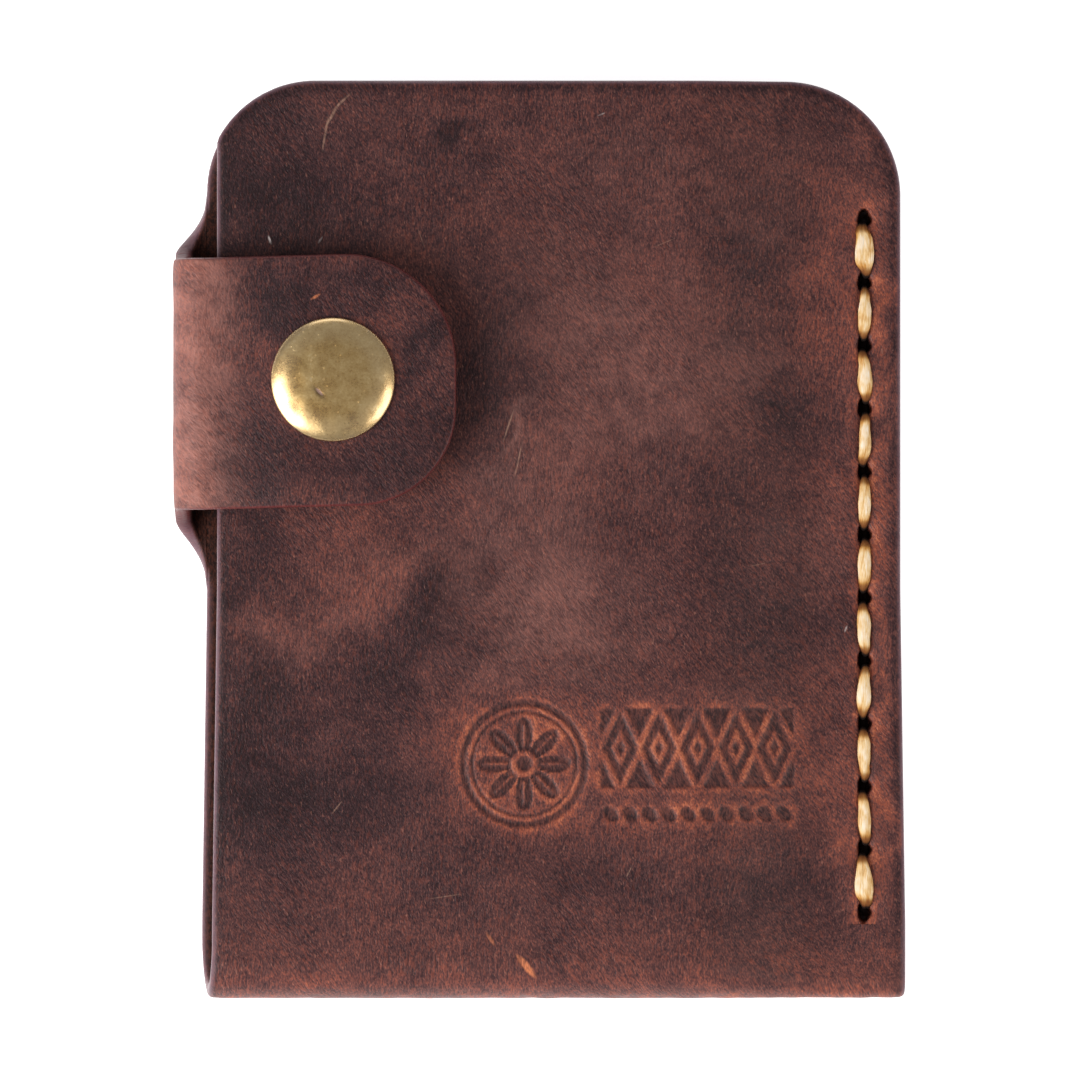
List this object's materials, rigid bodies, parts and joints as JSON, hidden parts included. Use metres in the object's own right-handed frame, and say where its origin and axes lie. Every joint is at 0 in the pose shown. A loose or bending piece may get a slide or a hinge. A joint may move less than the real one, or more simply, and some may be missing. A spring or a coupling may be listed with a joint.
{
  "type": "minimalist wallet",
  "caption": "Vertical leather card sleeve folded from one blank, saddle stitched along one side and closed by a wrap-round strap with a snap fastener.",
  "frame": {"origin": "on the rest plane under the middle of the whole object's box, strap included, with the wallet lying on its back", "axes": "+X to the stitched side, +Y to the open top, +Z out of the front face"},
  "size_m": [0.0742, 0.093, 0.0139],
  "materials": {
    "leather": "oiled pull-up cowhide, dark brown grain with lighter reddish wear, burnished edges, raw flesh side",
    "thread": "waxed twisted cream thread",
    "aged_brass": "antique brass, satin with darker patina and fine scratches",
    "spring_steel": "drawn spring wire"
  },
  "bodies": {
    "wallet": {"back_panel": "leather", "bottom_fold": "leather", "front_panel": "leather", "strap_root": "leather", "thread_first_needle": "thread", "thread_second_needle": "thread", "snap_stud": "aged_brass", "snap_stud_post": "aged_brass"},
    "strap_side": {"strap_riser": "leather"},
    "strap_end": {"strap_flap": "leather", "snap_cap": "aged_brass", "snap_cap_post": "aged_brass", "snap_socket": "aged_brass", "snap_socket_spring": "spring_steel"}
  },
  "joints": [
    {"name": "strap_lower_bend", "type": "hinge", "parent": "wallet", "child": "strap_side", "pos_m": [-0.03611, 0.01575, 0.00094], "axis": [0, -1, 0], "range_deg": [0, 70], "deforming": ["snap_socket_spring"]},
    {"name": "strap_upper_bend", "type": "hinge", "parent": "strap_side", "child": "strap_end", "pos_m": [-0.03611, 0.01575, 0.01146], "axis": [0, -1, 0], "range_deg": [0, 70]}
  ],
  "couplings": [
    {"joint": "strap_upper_bend", "follows": "strap_lower_bend", "ratio": 1}
  ]
}
